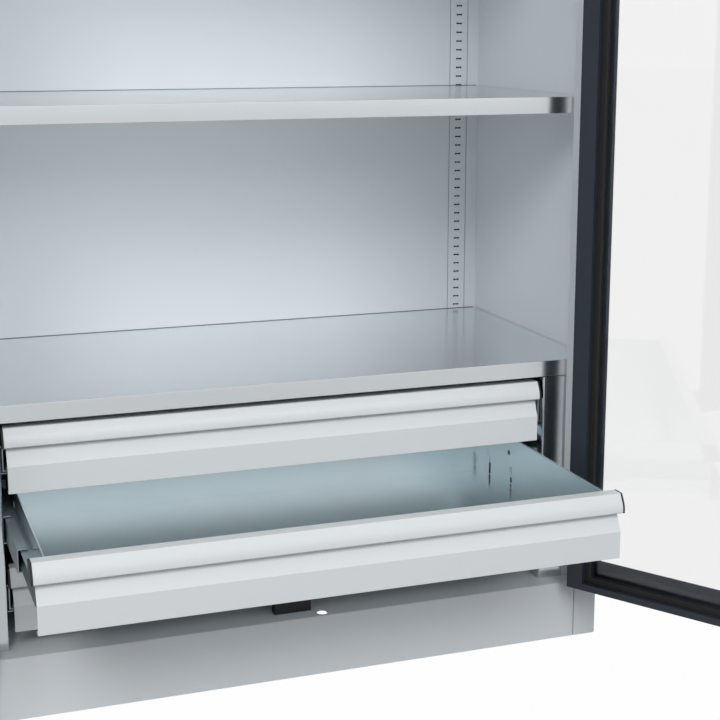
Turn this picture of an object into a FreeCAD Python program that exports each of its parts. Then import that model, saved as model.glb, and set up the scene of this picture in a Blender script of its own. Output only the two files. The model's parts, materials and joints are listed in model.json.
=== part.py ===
import FreeCAD, Part
import math
import os
import Sketcher

# Steel storage cabinet with two glazed doors, shelves and three drawers.
# Millimetres. +Z is up, the doors are on the -Y side, and +X is to the right for a person facing them.
# The origin is on the floor, under the middle of the cabinet body.
# Every piece is drawn with the doors and drawers shut. Its Placement then brings it to the rest
# position: both doors swung open and the middle drawer pulled out.

DIMENSIONS = {
    # carcass
    "body_width": 1000,
    "body_depth": 500,
    "body_height": 1950,
    "steel": 1.5,
    "bend_radius": 2,
    "post_width": 38,
    "rebate": 26.5,
    "stop_flange": 10,
    "head_height": 38,
    "rear_head_height": 60,
    "floor_level": 93,
    "floor_edge": 25,
    "plinth_gap": 1,
    "plinth_seam": 1.4,
    "plinth_return": 18,
    "corner_radius": 4,
    "back_recess": 20.5,
    "rear_flange": 60,
    "joint_gap": 0.2,
    # slotted uprights
    "rear_upright_inner": 443.5,
    "rear_upright_seam": 0.9,
    "rear_upright_groove": 475,
    "rear_upright_groove_width": 2,
    "rear_upright_groove_depth": 3,
    "rear_upright_wing": 0.4,
    "upright_width": 33,
    "upright_depth": 15.5,
    "slot_from_side": 40.3,
    "front_slot_from_side": 19,
    "slot_first": 103.04,
    "slot_pitch": 15.29,
    "slot_count": 120,
    "slot_end_radius": 1.75,
    "slot_length": 11,
    "slot_bar_height": 2.2,
    # shelves
    "shelf_setback": 28.5,
    "shelf_fold": 25,
    "shelf_side_gap": 2,
    "shelf_lip": 12,
    "shelf_notch": 39,
    "shelf_level": 851,
    "cover_level": 447.5,
    "hook_width": 13,
    "hook_plate": 2,
    "hook_ledge": 16,
    "hook_tongue": 5,
    # drawer housing
    "housing_half_width": 412.5,
    "housing_flange": 42.5,
    "housing_foot": 28,
    "housing_bend": 2.5,
    "housing_seam": 0.9,
    "screw_radius": 5,
    "screw_head": 3,
    # drawers
    "drawer_pitch": 101,
    "drawer_level": 119.7,
    "front_setback": 27.5,
    "front_half_width": 403.5,
    "front_height": 92,
    "front_flat": 38.5,
    "front_bevel_top": 65.2,
    "front_bevel_depth": 13,
    "handle_half_width": 406.5,
    "handle_depth": 27.5,
    "handle_brow": 9.5,
    "handle_slope": 15.8,
    "handle_lip": 6,
    "handle_wall": 2,
    "handle_radius": 27,
    "handle_inner_back": 1.13,
    "handle_inner_drop": 0.55,
    "brow_radius": 1.5,
    "cap_thickness": 3,
    "tray_half_width": 390,
    "tray_rise": 6,
    "tray_length": 420,
    "drawer_out": 264,
    # telescopic rails
    "rail_rise": 45,
    "rail_length": 418,
    "rail_start": 44,
    "outer_rail_width": 12,
    "outer_rail_half_height": 20,
    "middle_rail_gap": 4,
    "middle_rail_width": 14.5,
    "middle_rail_half_height": 16.5,
    "inner_rail_width": 13.5,
    "inner_rail_half_height": 13,
    # doors
    "door_gap": 2,
    "door_meeting_gap": 1,
    "door_thickness": 25,
    "door_clearance": 1.5,
    "door_head_gap": 2.5,
    "door_flange": 27,
    "door_lock_flange": 60,
    "door_end_flange": 10.5,
    "door_lip": 8.4,
    "door_border": 46,
    "door_lock_border": 80,
    "pane_thickness": 4,
    "seal_reach": 10.5,
    "seal_overlap": 3,
    "door_open": 122,
    "strip_half_width": 14,
    "strip_shortening": 30,
    "hinge_proud": 4.5,
    "hinge_side": 1,
    "hinge_radius": 4,
    "hinge_pin_radius": 2,
    "hinge_pin_play": 0.3,
    "hinge_length": 30,
    "hinge_play": 0.6,
    "hinge_leaf": 17,
    "hinge_low": 150,
    "hinge_spacing": 830,
    # lock
    "lock_level": 1020,
    "lock_key_drop": 48,
    "lock_plate_half_width": 16,
    "lock_plate_margin": 26,
    "lock_plate_thickness": 6,
    "lock_plate_corner": 14,
    "cylinder_radius": 9,
    "plug_radius": 6,
    "cylinder_proud": 10,
    "cylinder_length": 28,
    "spindle_from_edge": 29,
    "spindle_radius": 4,
    "rod_depth": 13.5,
    "rod_thickness": 5,
    "rod_width": 5.2,
    "rod_travel": 18,
    "gear_teeth": 16,
    "gear_addendum": 0.9,
    "gear_dedendum": 1.3,
    "rod_hole_radius": 8.5,
    "lever_length": 112,
    "lever_width": 18,
    "lever_proud": 30,
    "hub_radius": 12,
    "case_half_width": 25,
    "case_half_height": 38,
    # feet
    "foot_inset": 16,
    "foot_setback": 18,
    "foot_radius": 12,
    "foot_pad": 6,
    "foot_stud_radius": 4,
    "foot_stud_top": 34,
    "bracket_size": 34.5,
    "bracket_level": 22,
    "bracket_thickness": 3,
}

DRAWERS = 3
SHELVES = ("low", "middle", "high")
OPEN_DRAWER = 2
HINGES = 3
SLOTS_PER_SHELF = 24
LOWEST_HOOK_SLOT = 46
LOWEST_TOOTH = 2
TEETH_ON_ROD = 8
TOOTH_ROOT = 0.26
TOOTH_TIP = 0.12

doc = FreeCAD.newDocument("storage_cabinet")
sheet = doc.addObject("Spreadsheet::Sheet", "dims")
for row, (word, size) in enumerate(DIMENSIONS.items(), start=1):
    sheet.set(f"A{row}", word)
    sheet.set(f"B{row}", str(size))
    sheet.setAlias(f"B{row}", word)
doc.recompute()


class Size:
    """A length or count that carries both its value and its expression over the sheet's cells."""

    def __init__(self, text, value):
        self.text = text
        self.value = value

    def __str__(self):
        return self.text

    def __add__(self, other):
        return combined(self, "+", other)

    def __radd__(self, other):
        return combined(other, "+", self)

    def __sub__(self, other):
        return combined(self, "-", other)

    def __rsub__(self, other):
        return combined(other, "-", self)

    def __mul__(self, other):
        return combined(self, "*", other)

    def __rmul__(self, other):
        return combined(other, "*", self)

    def __truediv__(self, other):
        return combined(self, "/", other)

    def __neg__(self):
        return combined(0, "-", self)


def number(size):
    """The value of a size or of a plain number."""
    return float(getattr(size, "value", size))


def combined(first, sign, second):
    """The size that two others make together."""
    a, b = number(first), number(second)
    values = {"+": a + b, "-": a - b, "*": a * b, "/": a / b if b else 0}
    return Size(f"({first} {sign} {second})", values[sign])


class Dimensions:
    """The sheet's cells by their aliases, each as a Size."""

    def __getattr__(self, word):
        return Size(f"dims.{word}", float(sheet.get(word)))


dims = Dimensions()
pieces = []


def keep(piece, label):
    """Gives a finished piece its name and puts it on the list of pieces to write."""
    if piece.TypeId in ("Part::Box", "Part::Cylinder", "Part::Feature"):
        piece = group([piece])
    piece.Label = label
    pieces.append(piece)
    return piece


def mirrored(side, inner, outer):
    """The low and high end along X of a stretch given for the right side; side is 1 or -1."""
    if side > 0:
        return inner, outer
    return -outer, -inner


def block(low, high, name="block"):
    """A box from its low corner to its high corner, each three expressions."""
    solid = doc.addObject("Part::Box", name)
    for size, axis, start, end in zip(("Length", "Width", "Height"), "xyz", low, high):
        solid.setExpression(size, str(end - start))
        solid.setExpression(f"Placement.Base.{axis}", str(start))
    return solid


def rod(centre, radius, length, along="z", name="rod"):
    """A cylinder from its end's centre, running up or along +Y."""
    solid = doc.addObject("Part::Cylinder", name)
    solid.setExpression("Radius", str(radius))
    solid.setExpression("Height", str(length))
    if along == "y":
        solid.Placement = FreeCAD.Placement(FreeCAD.Vector(), FreeCAD.Rotation(FreeCAD.Vector(1, 0, 0), -90))
    for axis, expression in zip("xyz", centre):
        solid.setExpression(f"Placement.Base.{axis}", str(expression))
    return solid


def joined(parts, name="joined"):
    """One solid made of touching parts."""
    fuse = doc.addObject("Part::MultiFuse", name)
    fuse.Shapes = parts
    fuse.Refine = True
    return fuse


def group(parts, name="group"):
    """Separate solids kept together."""
    together = doc.addObject("Part::Compound", name)
    together.Links = parts
    return together


def cut(base, tools, name="cut"):
    """The base with the tools taken away."""
    result = doc.addObject("Part::Cut", name)
    result.Base = base
    result.Tool = tools[0] if len(tools) == 1 else group(tools)
    result.Refine = True
    return result


def add_sketch(body, plane, offset):
    """A sketch on one of the body's own planes, moved along the plane's normal."""
    sketch = body.newObject("Sketcher::SketchObject", "sketch")
    support = [o for o in body.Origin.OriginFeatures if o.Role == plane][0]
    sketch.AttachmentSupport = [(support, "")]
    sketch.MapMode = "FlatFace"
    sketch.setExpression("AttachmentOffset.Base.z", str(offset))
    return sketch


def add_outline(sketch, points):
    """A closed outline of straight edges whose corners are bound to expressions."""
    first = sketch.GeometryCount
    corners = [FreeCAD.Vector(number(a), number(b), 0) for a, b in points]
    count = len(corners)
    for i in range(count):
        sketch.addGeometry(Part.LineSegment(corners[i], corners[(i + 1) % count]), False)
    for i, (across, up) in enumerate(points):
        edge, following = first + i, first + (i + 1) % count
        sketch.addConstraint(Sketcher.Constraint("Coincident", edge, 2, following, 1))
        for kind, expression in (("DistanceX", across), ("DistanceY", up)):
            index = sketch.addConstraint(Sketcher.Constraint(kind, -1, 1, edge, 1, number(expression)))
            sketch.setExpression(f"Constraints[{index}]", str(expression))


def add_circle(sketch, centre, radius):
    """A circle whose centre and radius are bound to expressions."""
    across, up = centre
    place = FreeCAD.Vector(number(across), number(up), 0)
    edge = sketch.addGeometry(Part.Circle(place, FreeCAD.Vector(0, 0, 1), number(radius)), False)
    index = sketch.addConstraint(Sketcher.Constraint("Radius", edge, number(radius)))
    sketch.setExpression(f"Constraints[{index}]", str(radius))
    for kind, expression in (("DistanceX", across), ("DistanceY", up)):
        index = sketch.addConstraint(Sketcher.Constraint(kind, -1, 1, edge, 3, number(expression)))
        sketch.setExpression(f"Constraints[{index}]", str(expression))


def extruded(plane, points, start, length, name="profile"):
    """A body padded from an outline; the sheet bends are rounded afterwards."""
    body = doc.addObject("PartDesign::Body", name)
    sketch = add_sketch(body, plane, start)
    add_outline(sketch, points)
    pad = body.newObject("PartDesign::Pad", "pad")
    pad.Profile = sketch
    pad.setExpression("Length", str(length))
    doc.recompute()
    return body


def round_edges(body, radius, along, places):
    """Rounds the body's edges that run along one axis through the given places."""
    base = body.Tip
    axes = [i for i in range(3) if i != "xyz".index(along)]
    chosen = []
    for i, edge in enumerate(base.Shape.Edges, start=1):
        if len(edge.Vertexes) != 2:
            continue
        start, end = edge.Vertexes[0].Point, edge.Vertexes[1].Point
        for place in places:
            target = [number(value) for value in place]
            near = all(
                abs(point[axis] - goal) < 0.01
                for point in (start, end)
                for axis, goal in zip(axes, target)
            )
            if near:
                chosen.append(f"Edge{i}")
    fillet = body.newObject("PartDesign::Fillet", "fillet")
    fillet.Base = (base, chosen)
    fillet.setExpression("Radius", str(radius))
    body.Tip = fillet
    doc.recompute()


def slide(piece, offset):
    """Moves a piece along Y by an offset."""
    piece.setExpression("Placement.Base.y", str(offset))


HINGE_X = dims.body_width / 2 - dims.post_width - dims.hinge_side
HINGE_Y = -dims.body_depth / 2 - dims.hinge_proud


def swing(piece, side):
    """Turns a piece of a door about its hinge line, from shut to the rest position."""
    turn = f"{side} * dims.door_open * 1 deg"
    across = side * HINGE_X
    piece.setExpression("Placement.Rotation.Angle", turn)
    piece.setExpression("Placement.Base.x", f"{across} * (1 - cos({turn})) + {HINGE_Y} * sin({turn})")
    piece.setExpression("Placement.Base.y", f"{HINGE_Y} * (1 - cos({turn})) - {across} * sin({turn})")


# Planes that several pieces share
HALF = dims.body_width / 2
FRONT = -dims.body_depth / 2
REAR = dims.body_depth / 2
STEEL = dims.steel
REAR_SHEET = REAR - STEEL
SKIN = HALF - STEEL
POST = HALF - dims.post_width
STOP_FRONT = FRONT + dims.rebate
STOP_BACK = STOP_FRONT + STEEL
STOP_EDGE = POST - dims.stop_flange
BACK_WALL = REAR - dims.back_recess
UPRIGHT_FACE = STOP_BACK + 0.5 + dims.upright_depth
ROOF = dims.body_height - STEEL
FLOOR = dims.floor_level
GAP = dims.joint_gap
SHELF_FRONT = FRONT + dims.shelf_setback
NAMES = {1: "right", -1: "left"}


def side_panel(side):
    """Outer skin, front post with its door stop, and rear flange, folded from one sheet."""
    rear_end = HALF - dims.rear_flange
    inner_post = POST + STEEL
    inner_front = FRONT + STEEL
    outline = [
        (rear_end, REAR),
        (HALF, REAR),
        (HALF, FRONT),
        (POST, FRONT),
        (POST, STOP_FRONT),
        (STOP_EDGE, STOP_FRONT),
        (STOP_EDGE, STOP_BACK),
        (inner_post, STOP_BACK),
        (inner_post, inner_front),
        (SKIN, inner_front),
        (SKIN, REAR_SHEET),
        (rear_end, REAR_SHEET),
    ]
    outline = [(side * across, up) for across, up in outline]
    body = extruded("XY_Plane", outline, dims.plinth_gap, ROOF - dims.plinth_gap, "side_panel")
    bends = [(side * HALF, REAR), (side * HALF, FRONT), (side * POST, FRONT)]
    round_edges(body, dims.bend_radius, "z", bends)
    # the lower front corner is rounded
    centre = side * (HALF - dims.corner_radius)
    start, reach = FRONT - 1, STEEL + 2
    above = dims.plinth_gap + dims.corner_radius
    low, high = mirrored(side, HALF - dims.corner_radius, HALF + 1)
    waste = block((low, start, dims.plinth_gap - 1), (high, start + reach, above))
    keeper = rod((centre, start - 1, above), dims.corner_radius, reach + 2, "y")
    return keep(cut(body, [cut(waste, [keeper])]), f"side_panel_{NAMES[side]}")


def back_panel():
    """Shallow pan, open at the back, between the rear uprights."""
    across = dims.rear_upright_inner - dims.rear_upright_seam
    low = (-across, BACK_WALL, FLOOR)
    pan = block(low, (across, REAR_SHEET, ROOF))
    inside = block(
        (-across + STEEL, BACK_WALL + STEEL, FLOOR + STEEL),
        (across - STEEL, REAR, ROOF - STEEL),
    )
    return keep(cut(pan, [inside]), "back_panel")


ROD_Y = FRONT + dims.rod_depth
CYLINDER_Z = dims.lock_level - dims.lock_key_drop
SPINDLE_X = dims.door_meeting_gap + dims.spindle_from_edge
GEAR_RADIUS = dims.rod_travel * 2 / math.pi
LOWER_ROD_X = SPINDLE_X + GEAR_RADIUS + dims.gear_dedendum
UPPER_ROD_X = SPINDLE_X - GEAR_RADIUS - dims.gear_dedendum - dims.rod_width


def roof_panel():
    """Top sheet with a front fascia, the ledge and lip that the doors close on, and a rear fascia."""
    fascia = POST - GAP
    under = dims.body_height - dims.head_height
    stop = STOP_EDGE - GAP
    rear = HALF - dims.rear_flange - GAP
    parts = [
        block((-HALF, FRONT, ROOF), (HALF, REAR, dims.body_height)),
        block((-fascia, FRONT, under), (fascia, FRONT + STEEL, ROOF)),
        block((-fascia, FRONT, under), (fascia, STOP_FRONT, under + STEEL)),
        block((-stop, STOP_FRONT, under - dims.stop_flange), (stop, STOP_BACK, under + STEEL)),
        block((-rear, REAR_SHEET, dims.body_height - dims.rear_head_height), (rear, REAR, ROOF)),
    ]
    hole = rod((UPPER_ROD_X + dims.rod_width / 2, ROD_Y, under - STEEL), dims.rod_hole_radius, 3 * STEEL)
    return keep(cut(joined(parts), [hole]), "roof_panel")


def lower_rod_hole(start):
    """Cutter for the hole that the lower rod drops into, from a height upwards."""
    return rod((LOWER_ROD_X + dims.rod_width / 2, ROD_Y, start), dims.rod_hole_radius, 3 * STEEL)


def floor_panel():
    """Bottom sheet between the posts and the side walls, with turned-down edges and the rod hole."""
    wide, narrow = SKIN - GAP, POST - GAP
    rear = BACK_WALL - GAP
    under = FLOOR - STEEL
    start, stop = STOP_BACK + GAP, STOP_EDGE - GAP
    edge = FLOOR - dims.floor_edge
    parts = [
        block((-wide, start, under), (wide, rear, FLOOR)),
        block((-stop, STOP_FRONT, under), (stop, start, FLOOR)),
        block((-narrow, FRONT, under), (narrow, STOP_FRONT, FLOOR)),
        block((-wide, rear - STEEL, edge), (wide, rear, FLOOR)),
    ]
    for side in (1, -1):
        low, high = mirrored(side, wide - STEEL, wide)
        parts.append(block((low, start, edge), (high, rear, FLOOR)))
    return keep(cut(joined(parts), [lower_rod_hole(FLOOR - 2 * STEEL)]), "floor_panel")


def plinth_front():
    """Kick panel between the posts, with folded edges behind."""
    across = POST - dims.plinth_seam
    top = FLOOR - STEEL
    pan = block((-across, FRONT, dims.plinth_gap), (across, FRONT + dims.plinth_return, top))
    inside = block(
        (-across + STEEL, FRONT + STEEL, dims.plinth_gap + STEEL),
        (across - STEEL, FRONT + dims.plinth_return + 1, top - STEEL),
    )
    hole = lower_rod_hole(top - 2 * STEEL)
    return keep(cut(pan, [inside, hole]), "plinth_front")


def plinth_rear():
    """Rear kick panel between the rear flanges."""
    across = HALF - dims.rear_flange - GAP
    bottom, top = dims.plinth_gap, FLOOR + dims.plinth_return
    parts = [
        block((-across, REAR_SHEET, bottom), (across, REAR, top)),
        block((-across, REAR - dims.plinth_return, bottom), (across, REAR, bottom + STEEL)),
    ]
    return keep(joined(parts), "plinth_rear")


def slotted(body, across, depth):
    """Cuts the column of shelf slots: two round ends joined by a bar, repeated up the upright."""
    ends = add_sketch(body, "XZ_Plane", -depth)
    reach = dims.slot_length / 2 - dims.slot_end_radius
    low, high = across - reach, across + reach
    for centre in (low, high):
        add_circle(ends, (centre, dims.slot_first), dims.slot_end_radius)
    bar = add_sketch(body, "XZ_Plane", -depth)
    under = dims.slot_first - dims.slot_bar_height / 2
    above = dims.slot_first + dims.slot_bar_height / 2
    add_outline(bar, [(low, under), (high, under), (high, above), (low, above)])
    pockets = []
    for sketch in (ends, bar):
        pocket = body.newObject("PartDesign::Pocket", "pocket")
        pocket.Profile = sketch
        pocket.SideType = "Symmetric"
        pocket.setExpression("Length", str(2 * STEEL))
        pockets.append(pocket)
    doc.recompute()
    pattern = body.newObject("PartDesign::LinearPattern", "slots")
    pattern.Originals = pockets
    upward = [o for o in body.Origin.OriginFeatures if o.Role == "Z_Axis"][0]
    pattern.Direction = (upward, [""])
    pattern.Mode = "Spacing"
    pattern.setExpression("Offset", str(dims.slot_pitch))
    pattern.setExpression("Occurrences", str(dims.slot_count))
    body.Tip = pattern
    return body


def rear_upright(side):
    """Slotted face level with the back wall, a narrow groove, a plain wing, and two legs behind."""
    inner, groove = dims.rear_upright_inner, dims.rear_upright_groove
    past, outer = groove + dims.rear_upright_groove_width, SKIN - GAP
    face, back = BACK_WALL, REAR_SHEET
    deep, wing = BACK_WALL + dims.rear_upright_groove_depth, BACK_WALL + dims.rear_upright_wing
    outline = [
        (inner, back),
        (inner, face),
        (groove, face),
        (groove, deep),
        (past, deep),
        (past, wing),
        (outer, wing),
        (outer, back),
        (outer - STEEL, back),
        (outer - STEEL, wing + STEEL),
        (past + STEEL, wing + STEEL),
        (past + STEEL, deep + STEEL),
        (groove - STEEL, deep + STEEL),
        (groove - STEEL, face + STEEL),
        (inner + STEEL, face + STEEL),
        (inner + STEEL, back),
    ]
    outline = [(side * across, up) for across, up in outline]
    body = extruded("XY_Plane", outline, FLOOR, ROOF - FLOOR, "rear_upright")
    centre = side * (HALF - dims.slot_from_side)
    return slotted(body, centre, face + STEEL / 2)


def front_upright(side):
    """Slotted channel behind the post; its face looks to the back of the cabinet."""
    outer = SKIN - 1
    inner = outer - dims.upright_width
    front, face = UPRIGHT_FACE - dims.upright_depth, UPRIGHT_FACE
    outline = [
        (inner, front),
        (inner, face),
        (outer, face),
        (outer, front),
        (outer - STEEL, front),
        (outer - STEEL, face - STEEL),
        (inner + STEEL, face - STEEL),
        (inner + STEEL, front),
    ]
    outline = [(side * across, up) for across, up in outline]
    body = extruded("XY_Plane", outline, FLOOR, ROOF - FLOOR, "front_upright")
    centre = side * (HALF - dims.front_slot_from_side)
    return slotted(body, centre, face - STEEL / 2)


def shelf(level, label):
    """Sheet folded down on all four sides, notched at the front corners for the uprights."""
    across = SKIN - dims.shelf_side_gap
    under = level - dims.shelf_fold
    rear = BACK_WALL - 1
    front = SHELF_FRONT
    notch_x, notch_y = HALF - dims.shelf_notch, UPRIGHT_FACE + STEEL
    pan = block((-across, front, under), (across, rear, level))
    inside = block(
        (-notch_x + STEEL, front + STEEL, under - 1),
        (notch_x - STEEL, rear - STEEL, level - STEEL),
    )
    behind = block(
        (-across + STEEL, notch_y + STEEL, under - 1),
        (across - STEEL, rear - STEEL, level - STEEL),
    )
    tools = [inside, behind]
    for side in (1, -1):
        low, high = mirrored(side, notch_x, across + 1)
        tools.append(block((low, front - 1, under - 1), (high, notch_y, level + 1)))
    lip = block(
        (-notch_x, front, under),
        (notch_x, front + dims.shelf_lip, under + STEEL),
    )
    return keep(joined([cut(pan, tools), lip]), label)


def shelf_level(order):
    """Height of a shelf's top; the shelves are a whole number of slots apart."""
    return dims.shelf_level + order * SLOTS_PER_SHELF * dims.slot_pitch


def shelf_hook(order, side, rear):
    """One hook: a ledge, a plate against the upright and a tongue in its slot."""
    under = shelf_level(order) - dims.shelf_fold
    tongue = dims.slot_first + (LOWEST_HOOK_SLOT + order * SLOTS_PER_SHELF) * dims.slot_pitch
    centre = HALF - (dims.slot_from_side if rear else dims.front_slot_from_side)
    face = BACK_WALL if rear else UPRIGHT_FACE
    out = -1 if rear else 1
    half = dims.hook_width / 2
    low, high = mirrored(side, centre - half, centre + half)
    plate = sorted([face, face + out * dims.hook_plate], key=number)
    ledge = sorted([face, face + out * dims.hook_ledge], key=number)
    reach = sorted([face, face - out * dims.hook_tongue], key=number)
    narrow, wide = mirrored(side, centre - dims.hook_tongue / 2, centre + dims.hook_tongue / 2)
    thin = dims.hook_plate / 2
    parts = [
        block((low, plate[0], tongue - dims.hook_tongue), (high, plate[1], under)),
        block((low, ledge[0], under - dims.hook_plate), (high, ledge[1], under)),
        block((narrow, reach[0], tongue - thin), (wide, reach[1], tongue + thin)),
    ]
    return joined(parts, "shelf_hook")


def shelf_hooks():
    """Four hooks for each shelf."""
    hooks = [
        shelf_hook(order, side, rear)
        for order in range(len(SHELVES))
        for side in (1, -1)
        for rear in (True, False)
    ]
    return keep(group(hooks), "shelf_hooks")


COVER_UNDER = dims.cover_level - STEEL


def housing_side(side):
    """Side wall of the drawer housing, with flanges at its front, back, top and foot."""
    inner = dims.housing_half_width
    outer, foot = inner + dims.housing_flange, inner + dims.housing_foot
    front, rear = SHELF_FRONT, BACK_WALL - 2 * STEEL
    under_fold = dims.cover_level - dims.shelf_fold - dims.housing_seam
    outline = [
        (inner, front),
        (outer, front),
        (outer, front + STEEL),
        (inner + STEEL, front + STEEL),
        (inner + STEEL, rear - STEEL),
        (foot, rear - STEEL),
        (foot, rear),
        (inner, rear),
    ]
    outline = [(side * across, up) for across, up in outline]
    wall = extruded("XY_Plane", outline, FLOOR, under_fold - FLOOR, "housing_wall")
    round_edges(wall, dims.housing_bend, "z", [(side * inner, front)])
    behind_fold = front + dims.shelf_lip + STEEL
    web = mirrored(side, inner, inner + STEEL)
    flange = mirrored(side, inner, foot)
    parts = [
        wall,
        block((web[0], behind_fold, FLOOR), (web[1], rear, COVER_UNDER)),
        block((flange[0], behind_fold, COVER_UNDER - STEEL), (flange[1], rear, COVER_UNDER)),
        block((flange[0], front + STEEL, FLOOR), (flange[1], rear, FLOOR + STEEL)),
    ]
    return keep(joined(parts), f"housing_side_{NAMES[side]}")


def drawer_base(index):
    """Height of a drawer front's lower edge; drawer 1 is the top one."""
    return dims.drawer_level + (DRAWERS - index) * dims.drawer_pitch


def c_rail(side, web, tip, half_height, start, length, base):
    """A channel rail along the drawer's side; web and tip are its two edges along X."""
    sign = 1 if number(tip) < number(web) else -1
    middle = base + dims.rail_rise
    inner = web - sign * STEEL
    up, down = middle + half_height, middle - half_height
    outline = [
        (tip, up),
        (web, up),
        (web, down),
        (tip, down),
        (tip, down + STEEL),
        (inner, down + STEEL),
        (inner, up - STEEL),
        (tip, up - STEEL),
    ]
    outline = [(side * across, height) for across, height in outline]
    # the outline lies across the drawer and is pushed along it, so the start is measured towards -Y
    return extruded("XZ_Plane", outline, -(start + length), length, "rail")


RAIL_START = FRONT + dims.rail_start


def outer_rails():
    """The rails fixed to the housing, two for each drawer."""
    web = dims.housing_half_width
    tip, half_height = web - dims.outer_rail_width, dims.outer_rail_half_height
    rails = [
        c_rail(side, web, tip, half_height, RAIL_START, dims.rail_length, drawer_base(index))
        for side in (1, -1)
        for index in range(1, DRAWERS + 1)
    ]
    return keep(group(rails), "outer_rails")


def rail_pair(index, web, tip, half_height, label, offset):
    """Two like rails of one drawer, moved out with it."""
    base = drawer_base(index)
    rails = [
        c_rail(side, web, tip, half_height, RAIL_START, dims.rail_length - 2 * STEEL, base)
        for side in (1, -1)
    ]
    slide(keep(group(rails), label), offset)


def inner_rails(index):
    """Rails screwed to the sides of the tray."""
    web = dims.tray_half_width
    tip, half_height = web + dims.inner_rail_width, dims.inner_rail_half_height
    rail_pair(index, web, tip, half_height, f"drawer_{index}_inner_rails", drawer_offset(index, 1))


def middle_rails(index):
    """Rails that run between the others and travel half as far as the drawer."""
    web = dims.housing_half_width - dims.middle_rail_gap
    tip, half_height = web - dims.middle_rail_width, dims.middle_rail_half_height
    rail_pair(index, web, tip, half_height, f"drawer_{index}_middle_rails", drawer_offset(index, 0.5))


def drawer_offset(index, share):
    """How far the pieces of a drawer stand out at rest."""
    return -share * dims.drawer_out if index == OPEN_DRAWER else 0


DRAWER_FACE = FRONT + dims.front_setback
BEHIND_HANDLE = DRAWER_FACE + dims.front_bevel_depth


def drawer_tray(index):
    """Open box of galvanised sheet with divider slots in its side walls."""
    base = drawer_base(index)
    across = dims.tray_half_width
    front = BEHIND_HANDLE + STEEL
    rear = front + dims.tray_length
    under, top = base + dims.tray_rise, base + dims.front_height
    pan = block((-across, front, under), (across, rear, top))
    tools = [
        block(
            (-across + STEEL, front + STEEL, under + STEEL),
            (across - STEEL, rear - STEEL, top + STEEL),
        ),
        block(
            (-across - 1, front - 1, top - dims.handle_wall - GAP),
            (across + 1, DRAWER_FACE + dims.handle_depth + GAP, top + 1),
        ),
    ]
    # divider openings in both side walls, as (distance from the back, height, width, rise)
    slit, slots = [(31, 28, 1, 15)], [(31, 8, 7, 20), (110, 9, 9, 4), (110, 16, 9, 9)]
    holes = [(102, 60, 8, 7.5), (107, 29, 2, 13), (113, 29, 2, 13)]
    for side in (1, -1):
        low, high = mirrored(side, across - 2 * STEEL, across + STEEL)
        for distance, height, width, rise in slit + slots + holes:
            start, bottom = rear - distance - width / 2, base + height
            tools.append(block((low, start, bottom), (high, start + width, bottom + rise)))
    slide(keep(cut(pan, tools), f"drawer_{index}_tray"), drawer_offset(index, 1))


def drawer_front(index):
    """Folded front: upright flat, bevel leaning back under the handle, and a turned-in lower edge."""
    base = drawer_base(index)
    flat, bevel = base + dims.front_flat, base + dims.front_bevel_top
    top = base + dims.front_height - dims.handle_wall
    inner_face, inner_back = DRAWER_FACE + STEEL, BEHIND_HANDLE + STEEL
    drop = STEEL * 0.4
    outline = [
        (DRAWER_FACE, base),
        (DRAWER_FACE, flat),
        (BEHIND_HANDLE, bevel),
        (BEHIND_HANDLE, top),
        (inner_back, top),
        (inner_back, bevel - drop),
        (inner_face, flat - drop),
        (inner_face, base + STEEL),
        (inner_back, base + STEEL),
        (inner_back, base),
    ]
    half = dims.front_half_width
    body = extruded("YZ_Plane", outline, -half, 2 * half, "drawer_front")
    round_edges(body, STEEL / 2, "x", [(DRAWER_FACE, flat), (DRAWER_FACE, base)])
    slide(keep(body, f"drawer_{index}_front"), drawer_offset(index, 1))


def handle_face(index):
    """Outer line of the handle strip from its brow down to its lower edge."""
    base = drawer_base(index)
    top, bottom = base + dims.front_height, base + dims.front_bevel_top
    shoulder = (DRAWER_FACE, top - dims.handle_slope)
    return [(DRAWER_FACE + dims.handle_brow, top), shoulder, (DRAWER_FACE, bottom)]


def drawer_handle(index):
    """Pull strip across the whole front: a flat top, a face that swells forward, and a lower lip."""
    brow, shoulder, edge = handle_face(index)
    rear, lip, wall = DRAWER_FACE + dims.handle_depth, DRAWER_FACE + dims.handle_lip, dims.handle_wall
    inner_brow = (brow[0] + dims.handle_inner_back, brow[1] - wall)
    inner_shoulder = (DRAWER_FACE + wall, shoulder[1] - dims.handle_inner_drop)
    outline = [
        (rear, brow[1]),
        brow,
        shoulder,
        edge,
        (lip, edge[1]),
        (lip, edge[1] + wall),
        (DRAWER_FACE + wall, edge[1] + wall),
        inner_shoulder,
        inner_brow,
        (rear, brow[1] - wall),
    ]
    half = dims.handle_half_width
    body = extruded("YZ_Plane", outline, -half, 2 * half, "drawer_handle")
    round_edges(body, dims.handle_radius, "x", [shoulder])
    round_edges(body, dims.handle_radius - wall, "x", [inner_shoulder])
    round_edges(body, dims.brow_radius, "x", [brow])
    round_edges(body, wall * 0.9, "x", [edge])
    slide(keep(body, f"drawer_{index}_handle"), drawer_offset(index, 1))


def drawer_caps(index):
    """Dark caps that close the two ends of the handle strip."""
    brow, shoulder, edge = handle_face(index)
    rear, thickness = DRAWER_FACE + dims.handle_depth, dims.cap_thickness
    outline = [edge, (rear, edge[1]), (rear, brow[1]), brow, shoulder]
    caps = []
    for start in (dims.handle_half_width, -dims.handle_half_width - thickness):
        cap = extruded("YZ_Plane", outline, start, thickness, "cap")
        round_edges(cap, dims.handle_radius, "x", [shoulder])
        caps.append(cap)
    slide(keep(group(caps), f"drawer_{index}_caps"), drawer_offset(index, 1))


DOOR_HINGE_EDGE = POST - dims.door_gap
DOOR_LOW = FLOOR + dims.door_clearance
DOOR_HIGH = dims.body_height - dims.head_height - dims.door_head_gap
DOOR_BACK = FRONT + dims.door_thickness


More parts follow.
